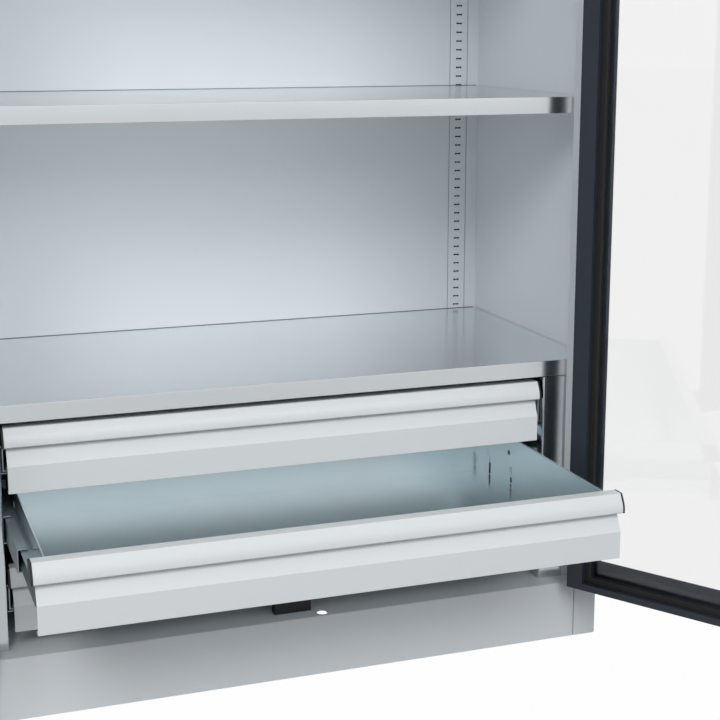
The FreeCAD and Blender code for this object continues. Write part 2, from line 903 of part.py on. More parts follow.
def door_block(side, from_hinge, from_edge, front, back, from_end):
    """A box in a shut door, given by how far it stays inside the door's edges."""
    low, high = mirrored(side, dims.door_meeting_gap + from_edge, DOOR_HINGE_EDGE - from_hinge)
    return block((low, front, DOOR_LOW + from_end), (high, back, DOOR_HIGH - from_end))


def lock_cutouts():
    """Holes in the lock door: one for each rod in its end edges, and two for the lock in its sheet."""
    tools = []
    for across, height in ((LOWER_ROD_X, DOOR_LOW), (UPPER_ROD_X, DOOR_HIGH)):
        half = dims.rod_thickness / 2 + 1
        low = (across - 1, ROD_Y - half, height - 2 * STEEL)
        tools.append(block(low, (across + dims.rod_width + 1, ROD_Y + half, height + 2 * STEEL)))
    start, depth = FRONT - STEEL, 3 * STEEL
    tools.append(rod((SPINDLE_X, start, dims.lock_level), dims.spindle_radius + 1, depth, "y"))
    tools.append(rod((SPINDLE_X, start, CYLINDER_Z), dims.cylinder_radius + 1, depth, "y"))
    return tools


def door_frame(side):
    """Folded door: outer sheet with the window, four edges, inner flanges and their lips."""
    flange, lock, end = dims.door_flange, dims.door_lock_flange, dims.door_end_flange
    border = dims.door_border
    shell = door_block(side, 0, 0, FRONT, DOOR_BACK, 0)
    cavity = door_block(side, STEEL, STEEL, FRONT + STEEL, DOOR_BACK - STEEL, STEEL)
    window = door_block(side, border, dims.door_lock_border, FRONT - STEEL, FRONT + 2 * STEEL, border)
    opening = door_block(side, flange, lock, DOOR_BACK - 2 * STEEL, DOOR_BACK + STEEL, end)
    tools = [cavity, window, opening]
    if side > 0:
        tools += lock_cutouts()
    lip_front, lip_back = DOOR_BACK - dims.door_lip, DOOR_BACK - STEEL
    rim = door_block(side, flange - STEEL, lock - STEEL, lip_front, lip_back, end - STEEL)
    hollow = door_block(side, flange, lock, lip_front - STEEL, DOOR_BACK, end)
    frame = joined([cut(shell, tools), cut(rim, [hollow])])
    swing(keep(frame, f"door_{NAMES[side]}_frame"), side)


def door_pane(side):
    """Clear acrylic pane against the inner side of the outer sheet."""
    front = FRONT + STEEL
    back, end = front + dims.pane_thickness, dims.door_end_flange
    pane = door_block(side, dims.door_flange, dims.door_lock_flange, front, back, end)
    swing(keep(pane, f"door_{NAMES[side]}_pane"), side)


def door_seal(side):
    """Black rubber frame that presses the pane to the sheet."""
    front = FRONT + STEEL + dims.pane_thickness
    back = DOOR_BACK - dims.door_lip - GAP
    flange, lock, end = dims.door_flange, dims.door_lock_flange, dims.door_end_flange
    under, reach = dims.seal_overlap, dims.seal_reach
    outer = door_block(side, flange - under, lock - under, front, back, end - under)
    inner = door_block(side, flange + reach, lock + reach, front - 1, back + 1, end + reach)
    swing(keep(cut(outer, [inner]), f"door_{NAMES[side]}_seal"), side)


def hinge_level(index):
    return dims.hinge_low + index * dims.hinge_spacing


def hinge_half(side, index, on_door):
    """One knuckle and its leaf; the half on the door stands over the half on the post."""
    across = side * HINGE_X
    length, leaf = dims.hinge_length, dims.hinge_leaf
    start, hole_radius = hinge_level(index), dims.hinge_pin_radius
    inner, outer = HINGE_X, HINGE_X + leaf
    if on_door:
        start, hole_radius = start + length + dims.hinge_play, hole_radius + dims.hinge_pin_play
        inner, outer = HINGE_X - leaf, HINGE_X
    low, high = mirrored(side, inner, outer)
    knuckle = rod((across, HINGE_Y, start), dims.hinge_radius, length)
    plate = block((low, FRONT - STEEL, start), (high, FRONT, start + length))
    hole = rod((across, HINGE_Y, start - 1), hole_radius, length + 2)
    return cut(joined([knuckle, plate]), [hole])


def door_hinges(side):
    """The halves of the lift-off hinges that are on the door."""
    halves = [hinge_half(side, index, True) for index in range(HINGES)]
    swing(keep(group(halves), f"door_{NAMES[side]}_hinge_halves"), side)


def post_hinges():
    """The halves welded to the posts, and their pins."""
    halves, pins = [], []
    for side in (1, -1):
        for index in range(HINGES):
            place = (side * HINGE_X, HINGE_Y, hinge_level(index))
            halves.append(hinge_half(side, index, False))
            pins.append(rod(place, dims.hinge_pin_radius, 2 * dims.hinge_length))
    keep(group(halves), "post_hinge_halves")
    keep(group(pins), "hinge_pins")


def lock_plate():
    """Outside plate that carries the lever and the key cylinder."""
    half, margin = dims.lock_plate_half_width, dims.lock_plate_margin
    top, bottom = dims.lock_level + margin, CYLINDER_Z - margin
    low, high = SPINDLE_X - half, SPINDLE_X + half
    corners = [(low, bottom), (high, bottom), (high, top), (low, top)]
    plate = extruded("XZ_Plane", corners, -FRONT, dims.lock_plate_thickness, "plate")
    round_edges(plate, dims.lock_plate_corner, "y", corners)
    start, depth = FRONT - 2 * dims.lock_plate_thickness, 3 * dims.lock_plate_thickness
    holes = [
        rod((SPINDLE_X, start, dims.lock_level), dims.spindle_radius + 0.5, depth, "y"),
        rod((SPINDLE_X, start, CYLINDER_Z), dims.cylinder_radius, depth, "y"),
    ]
    swing(keep(cut(plate, holes), "lock_plate"), 1)


def lock_cylinder():
    """Cylinder body set through the plate and the door sheet."""
    start, length = FRONT - dims.cylinder_proud, dims.cylinder_length
    body = rod((SPINDLE_X, start, CYLINDER_Z), dims.cylinder_radius, length, "y")
    bore = rod((SPINDLE_X, start - 1, CYLINDER_Z), dims.plug_radius + 0.3, length - 4, "y")
    swing(keep(cut(body, [bore]), "lock_cylinder"), 1)


def lock_plug():
    """Rotating plug with its key slot."""
    start, length = FRONT - dims.cylinder_proud - 1, dims.cylinder_length - 5
    plug = rod((SPINDLE_X, start, CYLINDER_Z), dims.plug_radius, length, "y")
    slot_low = (SPINDLE_X - 0.7, start - 1, CYLINDER_Z - 4)
    slot = block(slot_low, (SPINDLE_X + 0.7, start + 12, CYLINDER_Z + 4))
    swing(keep(cut(plug, [slot]), "lock_plug"), 1)


def lock_lever():
    """Hub, spindle and lever, level when unlocked and pointing to the hinge side."""
    start, half = FRONT - dims.lever_proud, dims.lever_width / 2
    tip = SPINDLE_X + dims.lever_length
    outline = [(SPINDLE_X, start), (tip, start), (tip, start + 9), (SPINDLE_X, start + 12)]
    arm = extruded("XY_Plane", outline, dims.lock_level - half, dims.lever_width, "lever_arm")
    ends = [(tip, dims.lock_level - half), (tip, dims.lock_level + half)]
    round_edges(arm, half - 0.5, "y", ends)
    hub_length = dims.lever_proud - dims.lock_plate_thickness - 1
    hub = rod((SPINDLE_X, start, dims.lock_level), dims.hub_radius, hub_length, "y")
    spindle_length = dims.lever_proud + dims.door_thickness - 2
    spindle = rod((SPINDLE_X, start, dims.lock_level), dims.spindle_radius, spindle_length, "y")
    swing(keep(joined([hub, arm, spindle]), "lock_lever"), 1)


def gear_outline():
    """Spur gear section about the spindle, one flank line to each side of every tooth."""
    radius = number(GEAR_RADIUS)
    tip = radius + number(dims.gear_addendum)
    root = radius - number(dims.gear_dedendum)
    teeth = int(number(dims.gear_teeth))
    pitch = 2 * math.pi / teeth
    points = []
    for tooth in range(teeth):
        middle = tooth * pitch
        flanks = ((-TOOTH_ROOT, root), (-TOOTH_TIP, tip), (TOOTH_TIP, tip), (TOOTH_ROOT, root))
        for share, distance in flanks:
            angle = middle + share * pitch
            points.append((distance * math.cos(angle), distance * math.sin(angle)))
    return points


def lock_gear():
    """Gear on the spindle that drives both rods."""
    thickness = number(dims.rod_thickness)
    along = FreeCAD.Vector(0, thickness, 0)
    corners = [FreeCAD.Vector(across, 0, up) for across, up in gear_outline()]
    wheel = Part.Face(Part.makePolygon(corners + corners[:1])).extrude(along)
    bore = Part.makeCylinder(number(dims.spindle_radius), thickness, FreeCAD.Vector(), along)
    shape = wheel.cut(bore).Solids[0]
    start = number(ROD_Y) - thickness / 2
    shape.translate(FreeCAD.Vector(number(SPINDLE_X), start, number(dims.lock_level)))
    gear = doc.addObject("Part::Feature", "gear_wheel")
    gear.Shape = shape
    swing(keep(gear, "lock_gear"), 1)


def rack_tooth(root, height, direction, pitch):
    """One tooth of a rod's rack; direction is 1 where it points to +X."""
    tip = root + direction * (dims.gear_addendum + dims.gear_dedendum)
    outline = [
        (root, height - TOOTH_ROOT * pitch),
        (tip, height - TOOTH_TIP * pitch),
        (tip, height + TOOTH_TIP * pitch),
        (root, height + TOOTH_ROOT * pitch),
    ]
    return extruded("XZ_Plane", outline, -ROD_Y - dims.rod_thickness / 2, dims.rod_thickness, "rack_tooth")


def lock_rod(upward, label):
    """Flat rod with a short rack of teeth beside the gear."""
    pitch = GEAR_RADIUS * 2 * math.pi / dims.gear_teeth
    low_edge = UPPER_ROD_X if upward else LOWER_ROD_X
    high_edge = low_edge + dims.rod_width
    half = dims.rod_thickness / 2
    beyond = dims.rod_travel + 2 * dims.rod_width
    ends = (DOOR_LOW + STEEL, dims.lock_level + beyond)
    if upward:
        ends = (dims.lock_level - beyond, DOOR_HIGH - STEEL)
    parts = [block((low_edge, ROD_Y - half, ends[0]), (high_edge, ROD_Y + half, ends[1]))]
    for step in range(TEETH_ON_ROD):
        place = (step - LOWEST_TOOTH + 0.5) * pitch
        if upward:
            parts.append(rack_tooth(high_edge, dims.lock_level - place, 1, pitch))
        else:
            parts.append(rack_tooth(low_edge, dims.lock_level + place, -1, pitch))
    swing(keep(joined(parts), label), 1)


def rod_guide(low_edge, height):
    """Plastic block on the door sheet that a rod runs through."""
    wall, play, rise = 4, 0.4, 12
    half = dims.rod_thickness / 2
    high_edge = low_edge + dims.rod_width
    outside = block(
        (low_edge - wall, FRONT + STEEL, height),
        (high_edge + wall, ROD_Y + half + wall, height + rise),
    )
    inside = block(
        (low_edge - play, ROD_Y - half - play, height - 1),
        (high_edge + play, ROD_Y + half + play, height + rise + 1),
    )
    return cut(outside, [inside])


def rod_guides():
    """Two guides for each rod."""
    guides = [rod_guide(LOWER_ROD_X, height) for height in (220, 620)]
    guides += [rod_guide(UPPER_ROD_X, height) for height in (1320, 1720)]
    swing(keep(group(guides), "rod_guides"), 1)


def lock_case():
    """Cover over the gear, open above and below for the rods."""
    low, high = SPINDLE_X - dims.case_half_width, SPINDLE_X + dims.case_half_width
    bottom, top = dims.lock_level - dims.case_half_height, dims.lock_level + dims.case_half_height
    front, back = FRONT + STEEL, DOOR_BACK - 3 * STEEL
    outside = block((low, front, bottom), (high, back, top))
    inside = block(
        (low + STEEL, front - 1, bottom - 1),
        (high - STEEL, back - STEEL, top + 1),
    )
    hole = rod((SPINDLE_X, back - 2 * STEEL, dims.lock_level), dims.spindle_radius + 0.3, 3 * STEEL, "y")
    swing(keep(cut(outside, [inside, hole]), "lock_case"), 1)


def meeting_strip():
    """Strip on the left door that the right door closes over."""
    half, short = dims.strip_half_width, dims.strip_shortening
    front = DOOR_BACK
    strip = block((-half, front, DOOR_LOW + short), (half, front + STEEL, DOOR_HIGH - short))
    swing(keep(strip, "meeting_strip"), -1)


def door_stops():
    """Rubber blocks: one on the floor and one on the lip under the roof, both in the middle."""
    low, high = -25.5, 31.5
    front = DOOR_BACK + 0.5
    under = dims.body_height - dims.head_height - dims.stop_flange
    stops = [
        block((low, front, FLOOR), (high, front + 15, FLOOR + 20)),
        block((low, STOP_FRONT - 1, under + 1), (high, STOP_FRONT, under + 7)),
    ]
    keep(group(stops), "door_stops")


def feet():
    """Levelling feet on studs, and the brackets inside the corners that carry them."""
    foot_list, brackets = [], []
    across, along = HALF - dims.foot_inset, REAR - dims.foot_setback
    low_plate, thickness = dims.bracket_level, dims.bracket_thickness
    for side in (1, -1):
        for end in (1, -1):
            centre = (side * across, end * along)
            pad = rod((*centre, 0), dims.foot_radius, dims.foot_pad)
            stud_length = dims.foot_stud_top - dims.foot_pad
            stud = rod((*centre, dims.foot_pad), dims.foot_stud_radius, stud_length)
            foot_list.append(joined([pad, stud], "foot"))
            low, high = mirrored(side, SKIN - dims.bracket_size, SKIN)
            ends = sorted([end * REAR_SHEET, end * (REAR_SHEET - dims.bracket_size)], key=number)
            plate = block((low, ends[0], low_plate), (high, ends[1], low_plate + thickness))
            hole = rod((*centre, low_plate - 1), dims.foot_stud_radius, thickness + 2)
            brackets.append(cut(plate, [hole]))
    keep(group(foot_list), "levelling_feet")
    keep(group(brackets), "foot_brackets")


def housing_screws():
    """Heads of the screws that hold the housing's foot flanges to the floor sheet."""
    across = dims.housing_half_width + dims.housing_foot / 2 + STEEL
    screws = []
    for side in (1, -1):
        for place in (FRONT + 90, REAR - 90):
            centre = (side * across, place, FLOOR + STEEL)
            screws.append(rod(centre, dims.screw_radius, dims.screw_head))
    keep(group(screws), "housing_screws")


side_panel(1)
side_panel(-1)
back_panel()
roof_panel()
floor_panel()
plinth_front()
plinth_rear()
keep(group([rear_upright(1), rear_upright(-1)]), "rear_uprights")
keep(group([front_upright(1), front_upright(-1)]), "front_uprights")
for order, word in enumerate(SHELVES):
    shelf(shelf_level(order), f"shelf_{word}")
shelf_hooks()
shelf(dims.cover_level, "drawer_cover")
housing_side(1)
housing_side(-1)
outer_rails()
housing_screws()
for index in range(1, DRAWERS + 1):
    drawer_tray(index)
    drawer_front(index)
    drawer_handle(index)
    drawer_caps(index)
    inner_rails(index)
    middle_rails(index)
for side in (1, -1):
    door_frame(side)
    door_pane(side)
    door_seal(side)
    door_hinges(side)
post_hinges()
lock_plate()
lock_cylinder()
lock_plug()
lock_lever()
lock_gear()
lock_rod(True, "lock_rod_upper")
lock_rod(False, "lock_rod_lower")
rod_guides()
lock_case()
meeting_strip()
door_stops()
feet()
doc.recompute()

for thing in doc.Objects:
    if "Invalid" in thing.State or "Error" in thing.State:
        raise RuntimeError(f"{thing.Label} failed: {thing.State}")
for piece in pieces:
    if piece.Shape.isNull() or not piece.Shape.isValid() or not piece.Shape.Solids:
        raise RuntimeError(f"{piece.Label} has no valid solid")

os.makedirs("parts", exist_ok=True)
for piece in pieces:
    piece.Shape.exportStep(os.path.join("parts", piece.Label + ".step"))
print(len(pieces), "pieces written")
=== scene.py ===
# %% [markdown]
# # A storage cabinet in sheet steel
# The construction comes in ready made: every panel, rail, hinge and drawer is already where it belongs,
# in metres, with its origin on the floor under the middle of the cabinet. This notebook gives each piece
# the finish of the real one: edges that catch the light, powder coat, galvanised sheet, rubber and acrylic.
# Small things that are only there to be seen, such as weld dimples and screws, are added as pieces.

# %% Load the construction
import json
import math

import bmesh
import bpy
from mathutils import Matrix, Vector


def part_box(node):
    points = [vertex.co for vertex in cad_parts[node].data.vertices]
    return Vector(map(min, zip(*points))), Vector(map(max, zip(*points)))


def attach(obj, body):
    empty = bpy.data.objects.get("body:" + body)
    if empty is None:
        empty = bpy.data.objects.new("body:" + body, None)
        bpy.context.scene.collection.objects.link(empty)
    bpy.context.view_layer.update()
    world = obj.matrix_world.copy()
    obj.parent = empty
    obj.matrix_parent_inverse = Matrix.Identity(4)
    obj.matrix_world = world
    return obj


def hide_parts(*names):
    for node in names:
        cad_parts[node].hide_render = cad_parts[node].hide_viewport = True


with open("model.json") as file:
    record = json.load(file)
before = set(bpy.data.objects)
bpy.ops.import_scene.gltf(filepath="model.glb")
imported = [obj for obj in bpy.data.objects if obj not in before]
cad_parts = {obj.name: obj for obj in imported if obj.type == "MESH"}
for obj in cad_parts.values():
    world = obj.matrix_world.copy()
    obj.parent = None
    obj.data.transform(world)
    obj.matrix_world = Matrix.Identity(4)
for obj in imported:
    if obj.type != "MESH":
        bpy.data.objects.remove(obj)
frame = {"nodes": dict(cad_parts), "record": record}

scene = bpy.context.scene
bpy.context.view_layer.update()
nodes = frame["nodes"]
body_of_node = {}
for body_name, members in frame["record"]["behaviour"]["bodies"].items():
    for member in members:
        body_of_node[member] = body_name

# %% [markdown]
# The photograph was taken from the front left with a long lens, from the height of the cabinet's middle,
# and shows only its lower right part: a shelf, the drawers and one open door. The camera is turned down a
# little to frame them. A level camera with a large lens shift would keep the uprights parallel as well,
# but the shift stays with the camera in every other view, so only a small one is used.

# %% Camera
CAMERA_PLACE = (-0.60668, -2.21539, 0.95194)
CAMERA_YAW = 19.79
CAMERA_PITCH = -11.36
FOCAL_LENGTH = 73.74
CAMERA_SHIFT = (0, -0.05)
camera_data = bpy.data.cameras.new("camera")
camera = bpy.data.objects.new("camera", camera_data)
scene.collection.objects.link(camera)
camera.location = CAMERA_PLACE
camera.rotation_euler = (math.radians(90 + CAMERA_PITCH), 0, math.radians(-CAMERA_YAW))
camera_data.lens = FOCAL_LENGTH
camera_data.shift_x, camera_data.shift_y = CAMERA_SHIFT
camera_data.clip_end = 50
scene.camera = camera
print("lens", camera_data.lens, "mm")

# %% [markdown]
# Colours are easier to choose as screen values from 0 to 255. Blender works with linear light, so a small
# function turns one into the other. Every finish is then one material with its own node tree.


# %% Colour helper
def screen_colour(red, green, blue):
    """Linear colour from screen values of 0 to 255."""
    linear = []
    for value in (red, green, blue):
        share = value / 255
        linear.append(share / 12.92 if share <= 0.04045 else ((share + 0.055) / 1.055) ** 2.4)
    return (*linear, 1)


print("mid grey", [round(v, 3) for v in screen_colour(128, 128, 128)])

# %% [markdown]
# Every finish starts in the same way: an empty material, a noise in metres, a range for the roughness, a mix
# of two colours and a bump. Short helpers for these keep each finish down to what makes it different. The
# noises read Object coordinates, so a pattern has its real scale and stays on the piece when it moves.


# %% Material helpers
def new_material(name):
    """A material with an empty principled shader, its tree, and Object coordinates."""
    material = bpy.data.materials.new(name)
    material.use_nodes = True
    tree = material.node_tree
    shader = tree.nodes["Principled BSDF"]
    place = tree.nodes.new("ShaderNodeTexCoord")
    return material, tree, shader, place.outputs["Object"]


def add_noise(tree, coordinates, scale, detail=3, roughness=0.5):
    """A noise texture in metres; scale is the number of blobs in a metre."""
    noise = tree.nodes.new("ShaderNodeTexNoise")
    noise.inputs["Scale"].default_value = scale
    noise.inputs["Detail"].default_value = detail
    noise.inputs["Roughness"].default_value = roughness
    tree.links.new(coordinates, noise.inputs["Vector"])
    return noise.outputs["Fac"]


def add_range(tree, value, low, high):
    """Squeezes a 0 to 1 value into the range from low to high."""
    node = tree.nodes.new("ShaderNodeMapRange")
    node.inputs["To Min"].default_value = low
    node.inputs["To Max"].default_value = high
    tree.links.new(value, node.inputs["Value"])
    return node.outputs["Result"]


def add_mix(tree, value, first, second):
    """Mixes two colours by a value."""
    node = tree.nodes.new("ShaderNodeMix")
    node.data_type = "RGBA"
    node.inputs["A"].default_value = first
    node.inputs["B"].default_value = second
    tree.links.new(value, node.inputs["Factor"])
    return node.outputs["Result"]


def add_bump(tree, shader, height, strength, distance):
    """Roughens the surface a little without changing its shape."""
    node = tree.nodes.new("ShaderNodeBump")
    node.inputs["Strength"].default_value = strength
    node.inputs["Distance"].default_value = distance
    tree.links.new(height, node.inputs["Height"])
    tree.links.new(node.outputs["Normal"], shader.inputs["Normal"])


def darker(colour, share):
    """The same colour with less light."""
    return (*[value * share for value in colour[:3]], 1)


print("half of white", darker(screen_colour(255, 255, 255), 0.5))

# %% [markdown]
# Powder coat is sprayed on as dry dust and baked. It comes out even in colour, satin rather than glossy,
# with a very fine orange-peel skin. A small noise in the bump gives the skin, and a slow one moves the
# roughness a little, which breaks up the reflections on the big panels.


# %% Powder coat
def powder_coat(name, colour, roughness):
    """Baked paint with a fine skin; roughness is 0 for a mirror and 1 for chalk."""
    material, tree, shader, place = new_material(name)
    slow = add_noise(tree, place, 3.5, detail=2)
    tint = add_mix(tree, slow, darker(colour, 0.97), colour)
    tree.links.new(tint, shader.inputs["Base Color"])
    tree.links.new(add_range(tree, slow, roughness - 0.04, roughness + 0.05), shader.inputs["Roughness"])
    shader.inputs["Specular IOR Level"].default_value = 0.45
    add_bump(tree, shader, add_noise(tree, place, 900, detail=1), 0.06, 0.0004)
    return material


LIGHT_GREY = screen_colour(221, 225, 228)
ANTHRACITE = screen_colour(41, 48, 58)
grey_coat = powder_coat("light grey powder coat", LIGHT_GREY, 0.42)
front_coat = powder_coat("drawer front powder coat", screen_colour(217, 220, 221), 0.36)
door_coat = powder_coat("anthracite powder coat", ANTHRACITE, 0.38)
print("coats:", grey_coat.name, "|", front_coat.name, "|", door_coat.name)

# %% [markdown]
# Galvanised sheet is steel under a thin zinc skin. New smooth sheet mirrors softly: its reflections are
# blurred more along the rolling direction than across it, and faint cloudy patches show in the zinc.


# %% Galvanised sheet
def galvanised_sheet(name, colour, roughness, rolling=(6, 60, 60), metal=1.0):
    """Zinc on steel; the noise is stretched along the axis where rolling is smallest."""
    material, tree, shader, place = new_material(name)
    shader.inputs["Metallic"].default_value = metal
    cloud = add_noise(tree, place, 7, detail=3)
    tint = add_mix(tree, cloud, darker(colour, 0.94), colour)
    tree.links.new(tint, shader.inputs["Base Color"])
    stretch = tree.nodes.new("ShaderNodeMapping")
    stretch.inputs["Scale"].default_value = rolling
    tree.links.new(place, stretch.inputs["Vector"])
    lines = add_noise(tree, stretch.outputs["Vector"], 12, detail=4, roughness=0.6)
    tree.links.new(add_range(tree, lines, roughness - 0.05, roughness + 0.06), shader.inputs["Roughness"])
    add_bump(tree, shader, lines, 0.05, 0.0004)
    return material


shelf_zinc = galvanised_sheet("bright galvanised sheet", screen_colour(236, 241, 244), 0.18)
tray_zinc = galvanised_sheet("blue grey galvanised sheet", screen_colour(230, 241, 245), 0.2, metal=0.88)
housing_zinc = galvanised_sheet("housing sheet", screen_colour(216, 224, 229), 0.16)
rail_zinc = galvanised_sheet("zinc plated rail", screen_colour(176, 190, 195), 0.33, (40, 4, 40), metal=0.6)
print("metals:", shelf_zinc.name, "|", tray_zinc.name, "|", housing_zinc.name, "|", rail_zinc.name)

# %% [markdown]
# The remaining finishes are small: rubber for the pane's frame and the stops, moulded plastic for the
# handle caps, lock and feet, chrome for the key cylinder, and turned steel for the pins. Moulded pieces
# have a fine grain from their mould, so they share one recipe that differs in colour and roughness.


# %% Rubber, plastic, chrome
def moulded(name, colour, roughness, grain=500, strength=0.15):
    """Rubber or plastic, and matt strips of painted shade; grain is the number of grains in a metre."""
    material, tree, shader, place = new_material(name)
    fine = add_noise(tree, place, grain, detail=2)
    tint = add_mix(tree, add_noise(tree, place, 12), darker(colour, 0.85), colour)
    tree.links.new(tint, shader.inputs["Base Color"])
    tree.links.new(add_range(tree, fine, roughness - 0.06, roughness + 0.06), shader.inputs["Roughness"])
    add_bump(tree, shader, fine, strength, 0.0003)
    return material


black_rubber = moulded("black rubber", screen_colour(30, 30, 31), 0.62)
black_plastic = moulded("black moulded plastic", screen_colour(34, 35, 37), 0.45, grain=900)
chrome = galvanised_sheet("chrome", screen_colour(225, 227, 230), 0.1, (30, 30, 30))
turned_steel = galvanised_sheet("turned steel", screen_colour(170, 172, 175), 0.28, (30, 30, 30))
print("small parts:", black_rubber.name, "|", black_plastic.name, "|", chrome.name, "|", turned_steel.name)

# %% [markdown]
# The panes are clear acrylic, which takes away about a tenth of the light and mirrors only a little. A
# see-through surface of its own would lose the mirroring, so glass with real refraction is used. Clear
# sheet would throw a black shadow in a path tracer, and its shadow rays therefore pass straight through.


# %% Clear acrylic
def clear_acrylic():
    """Clear sheet with a faint haze, and without a shadow."""
    material, tree, shader, place = new_material("clear acrylic")
    shader.inputs["Base Color"].default_value = (0.885, 0.885, 0.885, 1)
    shader.inputs["Specular IOR Level"].default_value = 0.2
    shader.inputs["Transmission Weight"].default_value = 1
    shader.inputs["IOR"].default_value = 1.49
    haze = add_range(tree, add_noise(tree, place, 4), 0.0, 0.03)
    tree.links.new(haze, shader.inputs["Roughness"])
    light_path = tree.nodes.new("ShaderNodeLightPath")
    see_through = tree.nodes.new("ShaderNodeBsdfTransparent")
    blend = tree.nodes.new("ShaderNodeMixShader")
    output = tree.nodes["Material Output"]
    tree.links.new(light_path.outputs["Is Shadow Ray"], blend.inputs["Fac"])
    tree.links.new(shader.outputs["BSDF"], blend.inputs[1])
    tree.links.new(see_through.outputs["BSDF"], blend.inputs[2])
    tree.links.new(blend.outputs["Shader"], output.inputs["Surface"])
    return material


acrylic = clear_acrylic()
print(len(bpy.data.materials), "materials")

# %% [markdown]
# Folded sheet has no knife edges: each fold is a small radius that draws a thin bright line. The panels
# come with sharp folds, so each is copied, its loose triangles are joined into faces, and a bevel of about
# half a millimetre rounds the folds. Weighted normals keep the flats flat.


# %% Rounded folds
MERGE_DISTANCE = 0.00002
FLAT_ANGLE, FOLD_ANGLE = math.radians(0.5), math.radians(40)


def rounded_copy(node, width, segments=2):
    """A copy of a piece with its folds rounded by width, in metres."""
    mesh = nodes[node].data.copy()
    mesh.materials.clear()
    shape = bmesh.new()
    shape.from_mesh(mesh)
    bmesh.ops.remove_doubles(shape, verts=shape.verts, dist=MERGE_DISTANCE)
    bmesh.ops.dissolve_limit(shape, angle_limit=FLAT_ANGLE, verts=shape.verts, edges=shape.edges)
    shape.to_mesh(mesh)
    shape.free()
    piece = bpy.data.objects.new(node + "_finished", mesh)
    scene.collection.objects.link(piece)
    bevel = piece.modifiers.new("folds", "BEVEL")
    bevel.width = width
    bevel.segments = segments
    bevel.limit_method = "ANGLE"
    bevel.angle_limit = FOLD_ANGLE
    bevel.use_clamp_overlap = True
    normals = piece.modifiers.new("normals", "WEIGHTED_NORMAL")
    normals.keep_sharp = True
    mesh.shade_smooth()
    bpy.context.view_layer.update()
    seen = bpy.data.meshes.new_from_object(piece.evaluated_get(bpy.context.evaluated_depsgraph_get()))
    piece.modifiers.clear()
    piece.data = seen
    return piece


def dress(node, material, width=0.0006):
    """Gives a piece its finish, with rounded folds where width isn't zero."""
    if not width:
        nodes[node].data.materials.clear()
        nodes[node].data.materials.append(material)
        return nodes[node]
    piece = rounded_copy(node, width)
    piece.data.materials.append(material)
    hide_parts(node)
    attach(piece, body_of_node[node])
    return piece


print(len(nodes), "pieces to dress")

# %% [markdown]
# The slots of the uprights open into closed channels that lie in shade and look black. Thin sheet this
# bright would let the eye see the lit wall behind, so a matt dark strip of painted shade stands in each
# channel, out of reach of the hooks.

# %% Painted shade inside the channels
INNER_X, OUTER_X = 0.4455, 0.4725
SHADE_STRIP_DEPTH = 0.0075
SHADE_STRIP_THICKNESS = 0.001
SHADE_STRIP_END_GAP = 0.002


def add_box(shape, low, high):
    """Adds a closed box between two corners to a bmesh."""
    verts = []
    for x in (low[0], high[0]):
        for y in (low[1], high[1]):
            verts += [shape.verts.new((x, y, z)) for z in (low[2], high[2])]
    for face in ((0, 1, 3, 2), (4, 6, 7, 5), (0, 4, 5, 1), (2, 3, 7, 6), (0, 2, 6, 4), (1, 5, 7, 3)):
        shape.faces.new([verts[index] for index in face])


def new_piece(name, shape, material, body):
    """Turns a bmesh into a finished piece that rides on a body."""
    bmesh.ops.recalc_face_normals(shape, faces=shape.faces)
    mesh = bpy.data.meshes.new(name)
    shape.to_mesh(mesh)
    shape.free()
    piece = bpy.data.objects.new(name, mesh)
    scene.collection.objects.link(piece)
    mesh.materials.append(material)
    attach(piece, body)
    return piece


channel_low, channel_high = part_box("rear_uprights")
shade_strips = bmesh.new()
depth = channel_low[1] + SHADE_STRIP_DEPTH
bottom, top = channel_low[2] + SHADE_STRIP_END_GAP, channel_high[2] - SHADE_STRIP_END_GAP
for low_x, high_x in ((INNER_X, OUTER_X), (-OUTER_X, -INNER_X)):
    add_box(shade_strips, (low_x, depth, bottom), (high_x, depth + SHADE_STRIP_THICKNESS, top))
# Near-black matt strips in the channels: painted shade, where the closed channels lie in shadow.
painted_channel_shade = moulded("painted shade inside a channel", screen_colour(14, 15, 16), 0.9)
new_piece("upright_shadow_strips", shade_strips, painted_channel_shade, "cabinet")
print("channels at", round(channel_low[1], 4), "to", round(channel_high[1], 4))

# %% [markdown]
# The carcass is folded from coated sheet, with bare zinc where things are set down or slide. Its folds are
# about half a millimetre wide, a little wider on the shelves, and twice that on rubber. Pieces with hundreds
# of slots, and small ones that are hardly seen, look right without rounding and keep the faces they have.

# %% Dress the carcass
PANELS = ("side_panel_right", "side_panel_left", "roof_panel", "floor_panel", "plinth_front", "plinth_rear",
          "back_panel")
SHELF_SHEETS = ("shelf_low", "shelf_middle", "shelf_high", "drawer_cover")
DRAWERS = (1, 2, 3)
SHELF_FOLD, HOUSING_FOLD, HOOK_FOLD, RUBBER_EDGE = 0.0007, 0.0005, 0.0003, 0.0012
for panel in PANELS:
    dress(panel, grey_coat)
dress("rear_uprights", grey_coat, 0)
dress("front_uprights", grey_coat, 0)
for sheet_piece in SHELF_SHEETS:
    dress(sheet_piece, shelf_zinc, SHELF_FOLD)
for side in ("right", "left"):
    dress(f"housing_side_{side}", housing_zinc, HOUSING_FOLD)
dress("shelf_hooks", rail_zinc, HOOK_FOLD)
for small in ("outer_rails", "housing_screws", "foot_brackets"):
    dress(small, rail_zinc, 0)
dress("post_hinge_halves", grey_coat, 0)
dress("hinge_pins", turned_steel, 0)
dress("door_stops", black_rubber, RUBBER_EDGE)
dress("levelling_feet", black_plastic, 0)
print("carcass dressed")

# %% [markdown]
# Each drawer is a zinc tray behind a coated front, with a rolled handle strip between two plastic caps. All
# three are the same, so one loop dresses them. The caps and the front get about half a millimetre, and the
# thin lip of the handle strip less, so that its narrow folds stay narrow.

